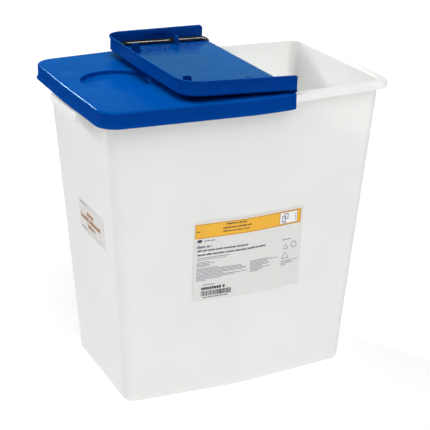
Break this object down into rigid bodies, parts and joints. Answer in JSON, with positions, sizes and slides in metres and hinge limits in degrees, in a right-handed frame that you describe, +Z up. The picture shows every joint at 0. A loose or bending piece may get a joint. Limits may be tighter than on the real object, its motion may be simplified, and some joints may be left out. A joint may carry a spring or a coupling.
{
  "type": "sharps container",
  "caption": "Tapered white sharps tub with a rolled rim and finger grips, and a blue two-part lid that clips on, with its hinged, gasketed flap folded back open.",
  "frame": {"origin": "middle of the tub's base, on the surface it stands on", "axes": "+X along the long side, from the fixed lid half to the open mouth; +Y from the labelled front to the back; +Z up"},
  "size_m": [0.477, 0.3382, 0.5089],
  "materials": {
    "tub_white": "white polypropylene, satin, slightly translucent",
    "lid_blue": "royal blue polypropylene, satin with a fine moulded grain",
    "gasket_black": "glossy black rubber cord",
    "label_white": null,
    "seal_orange": "satin orange printed film"
  },
  "bodies": {
    "tub": {"tub": "tub_white", "front_label": "label_white", "tamper_seal": "seal_orange", "side_label": "label_white"},
    "lid": {"fixed_lid": "lid_blue", "fixed_gasket": "gasket_black", "living_hinge": "lid_blue"},
    "flap": {"lid_flap": "lid_blue", "flap_gasket": "gasket_black"}
  },
  "joints": [
    {"name": "lid_lift", "type": "slide", "parent": "tub", "child": "lid", "axis": [0, 0, 1], "range_m": [0, 0.08]},
    {"name": "flap_hinge", "type": "hinge", "parent": "lid", "child": "flap", "pos_m": [0.059, 0, 0.4783], "axis": [0, 1, 0], "range_deg": [0, 178.2], "deforming": ["living_hinge", "flap_gasket"]}
  ]
}
